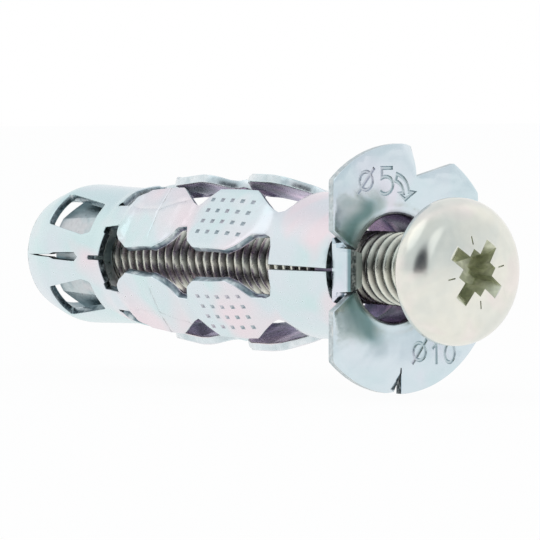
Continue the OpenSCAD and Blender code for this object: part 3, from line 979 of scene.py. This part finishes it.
def cut_recess(shape):
    """Adds the solid of the cross recess: two crossed arms with sloping ends and a tapered square."""
    deep = 1.85
    arm = [(0.4, 2.5, 0.56), (-0.08, 2.4, 0.5), (-0.6, 1.8, 0.46), (-deep, 1.35, 0.36)]
    centre = [(0.4, 1.2, 1.2), (-0.1, 1.12, 1.12), (-0.5, 1.0, 1.0), (-deep, 0.62, 0.62)]
    for rings, angle in ((arm, 55), (arm, 145), (centre, 55), (centre, 100)):
        loops = [[shape.verts.new((head_top + x, a * u, b * v))
                  for a, b in ((-1, -1), (1, -1), (1, 1), (-1, 1))] for x, u, v in rings]
        for low, high in zip(loops, loops[1:]):
            for k in range(4):
                shape.faces.new((low[k], low[(k + 1) % 4], high[(k + 1) % 4], high[k]))
        shape.faces.new(loops[0][::-1])
        shape.faces.new(loops[-1])
        bmesh.ops.rotate(shape, verts=[v for loop in loops for v in loop], cent=(0, 0, 0),
                         matrix=Matrix.Rotation(math.radians(angle), 3, "X"))


def cut_ticks(shape):
    """Adds thin ticks between the arms, which mark this kind of recess."""
    near, far, half, deep = 1.85, 2.4, 0.045, 0.05
    for turn in range(4):
        corners = [(x, y, z) for x in (head_top - 0.3 - deep, head_top + 0.4) for y, z in
                   ((near, -half), (far, -half), (far, half), (near, half))]
        verts = [shape.verts.new(c) for c in corners]
        for loop in ((0, 1, 2, 3), (7, 6, 5, 4), (0, 4, 5, 1), (1, 5, 6, 2), (2, 6, 7, 3), (3, 7, 4, 0)):
            shape.faces.new([verts[k] for k in loop])
        bmesh.ops.rotate(shape, verts=verts, cent=(0, 0, 0),
                         matrix=Matrix.Rotation(math.radians(10 + 90 * turn), 3, "X"))


verts, faces = revolved(head_profile(), np.linspace(0, 2 * math.pi, 96, endpoint=False), True)
head = as_piece("pan_head_screw", verts, faces, [screw_plating, recess_plating, thread_plating])
with edited(head.data) as shape:
    bmesh.ops.remove_doubles(shape, verts=shape.verts, dist=0.001)
    faced_out(shape)
cutter = as_piece("recess_cutter", [], [], [screw_plating, recess_plating])
with edited(cutter.data) as shape:
    cut_recess(shape)
    cut_ticks(shape)
    faced_out(shape)
    for face in shape.faces:
        face.material_index = 1
add_modifier(head, "BOOLEAN", operation="DIFFERENCE", object=cutter, solver="EXACT", use_self=True)
add_modifier(head, "BEVEL", width=0.05, segments=2, limit_method="ANGLE", angle_limit=math.radians(40))
add_modifier(head, "BOOLEAN", operation="UNION", object=thread, solver="EXACT")
settled(head, 50)
bpy.data.objects.remove(cutter)
bpy.data.objects.remove(thread)
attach(head, "screw")
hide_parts("machine_screw")


# ---------------------------------------------------------------- studio
# A pale floor under the anchor, a white surround and two soft lamps. The camera looks along the anchor
# from beyond the screw's head, 50 degrees round from the seam and almost level.

def floor_material():
    """Matt and pale, and close to white where it is seen, which keeps the shadow."""
    material = bpy.data.materials.new("pale_floor")
    material.use_nodes = True
    tree = material.node_tree
    tree.nodes.clear()
    path = add_node(tree, "ShaderNodeLightPath")
    seen = math_node(tree, "MAXIMUM", path.outputs["Is Camera Ray"], path.outputs["Is Glossy Ray"])
    seen = math_node(tree, "MAXIMUM", seen, path.outputs["Is Transmission Ray"])
    share = math_node(tree, "MULTIPLY", seen, 0.95)
    matt = add_node(tree, "ShaderNodeBsdfDiffuse", {"Color": (0.92, 0.92, 0.92, 1)})
    glow = add_node(tree, "ShaderNodeEmission", {"Color": (1, 1, 1, 1), "Strength": 1.0})
    both = add_node(tree, "ShaderNodeMixShader", {0: share, 1: matt.outputs[0], 2: glow.outputs[0]})
    add_node(tree, "ShaderNodeOutputMaterial", {"Surface": both.outputs[0]})
    return material


floor_z = cad_low.z - 0.0001
reach = 2.0
floor = as_piece("floor", [(-reach, -reach, floor_z), (reach, -reach, floor_z), (reach, reach, floor_z),
                           (-reach, reach, floor_z)], [[0, 1, 2, 3]], [floor_material()])
floor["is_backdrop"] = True

world = bpy.data.worlds.new("surround")
bpy.context.scene.world = world
world.use_nodes = True
tree = world.node_tree
tree.nodes.clear()
way = add_node(tree, "ShaderNodeTexCoord").outputs["Generated"]


def facing(direction, low, high):
    """How much of the surround lies towards a direction, from 0 to 1."""
    dot = add_node(tree, "ShaderNodeVectorMath", {0: way, 1: Vector(direction).normalized()},
                   operation="DOT_PRODUCT")
    return ranged(tree, dot.outputs["Value"], low, high, curve="SMOOTHSTEP")


path = add_node(tree, "ShaderNodeLightPath").outputs
plain_sight = math_node(tree, "MAXIMUM", path["Is Camera Ray"], path["Is Glossy Ray"])
plain_sight = math_node(tree, "MAXIMUM", plain_sight, path["Is Transmission Ray"])
off_camera = math_node(tree, "SUBTRACT", 1.0, path["Is Camera Ray"])
seen = mixed(tree, plain_sight, (0.96, 0.97, 0.98, 1), (1.0, 1.0, 1.0, 1))
# greyer stretches of the surround: in front, high behind, and a narrow dark one where the camera stands
for direction, low, high, tint in (
        ((0.766, -0.643, 0.04), -0.35, 0.5, (0.71, 0.76, 0.79, 1)),
        ((-0.55, 0.3, 0.78), 0.7, 0.97, (0.84, 0.87, 0.90, 1)),
        ((0.72, -0.69, 0.02), 0.8, 0.95, (0.05, 0.055, 0.07, 1))):
    seen = mixed(tree, math_node(tree, "MULTIPLY", facing(direction, low, high), off_camera), seen, tint)
background = add_node(tree, "ShaderNodeBackground", {"Color": seen, "Strength": 1.0})
add_node(tree, "ShaderNodeOutputWorld", {"Surface": background.outputs[0]})


def lamp(name, place, aim, size, power):
    """A soft round lamp turned towards a point."""
    data = bpy.data.lights.new(name, "AREA")
    data.shape = "DISK"
    data.size = size
    data.energy = power
    light = bpy.data.objects.new(name, data)
    light.location = place
    light.rotation_euler = (Vector(aim) - Vector(place)).to_track_quat("-Z", "Y").to_euler()
    bpy.context.scene.collection.objects.link(light)


middle = (cad_low + cad_high) / 2
lamp("key_lamp", (-0.10, -0.22, 0.28), middle, 0.3, 0.07)
lamp("fill_lamp", (0.30, -0.05, 0.16), middle, 0.2, 0.03)

azimuth = math.radians(50)
elevation = math.radians(2.4)
away = Vector((math.sin(azimuth) * math.cos(elevation), -math.cos(azimuth) * math.cos(elevation),
               math.sin(elevation)))
right = Vector((math.cos(azimuth), math.sin(azimuth), 0))
top = away.cross(right)
flange_centre = Vector((0.0006, 0, 0))
distance = 0.272
target = flange_centre - right * 0.00868 - top * 0.00008
camera_data = bpy.data.cameras.new("camera")
camera_data.sensor_width = 36
camera_data.lens = 275.5
camera_data.clip_start = 0.01
camera = bpy.data.objects.new("camera", camera_data)
camera.location = flange_centre + away * distance
camera.rotation_euler = (target - camera.location).to_track_quat("-Z", "Y").to_euler()
bpy.context.scene.collection.objects.link(camera)
bpy.context.scene.camera = camera
bpy.context.scene.view_settings.view_transform = "Standard"

low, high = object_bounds()
